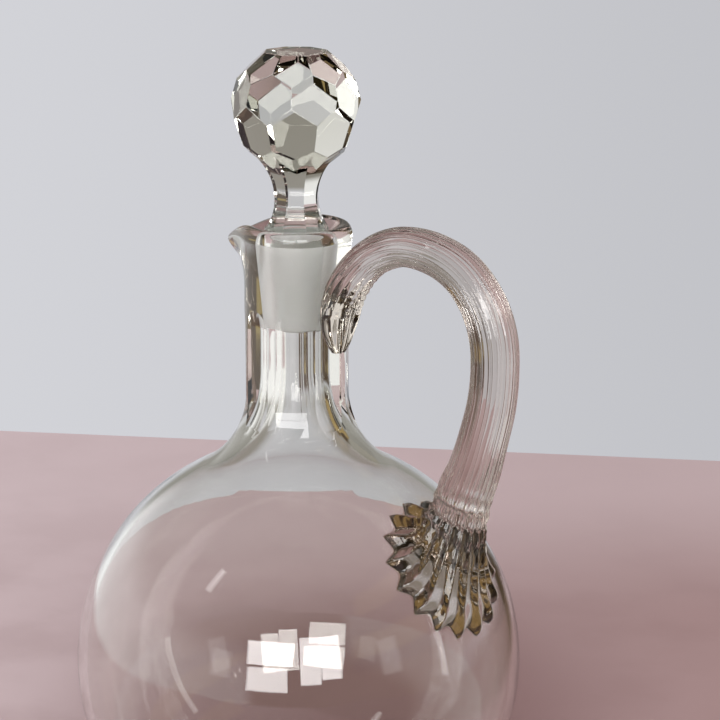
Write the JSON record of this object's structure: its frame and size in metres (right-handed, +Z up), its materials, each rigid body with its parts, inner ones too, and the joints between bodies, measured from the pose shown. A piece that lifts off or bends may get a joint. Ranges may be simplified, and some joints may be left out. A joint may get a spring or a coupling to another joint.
{
  "type": "glass jug with stopper",
  "caption": "Clear glass globe-and-shaft jug with slice-cut neck, pouring lip, fluted loop handle ending in a shell, and a loose faceted ball stopper.",
  "frame": {"origin": "centre of the flat base, on the jug's axis, at the level it stands on", "axes": "+Z up the jug's axis, +X towards the handle, -X towards the pouring lip"},
  "size_m": [0.1497, 0.14, 0.255],
  "materials": {
    "body_glass": "clear blown glass, polished",
    "handle_glass": "clear fluted glass, fire polished",
    "stopper_glass": "clear cut glass, polished, with a ground matt plug"
  },
  "bodies": {
    "jug": {"jug_body": "body_glass", "handle": "handle_glass"},
    "stopper": {"stopper": "stopper_glass"}
  },
  "joints": [
    {"name": "stopper_lift", "type": "slide", "parent": "jug", "child": "stopper", "axis": [0, 0, 1], "range_m": [0, 0.05]}
  ]
}
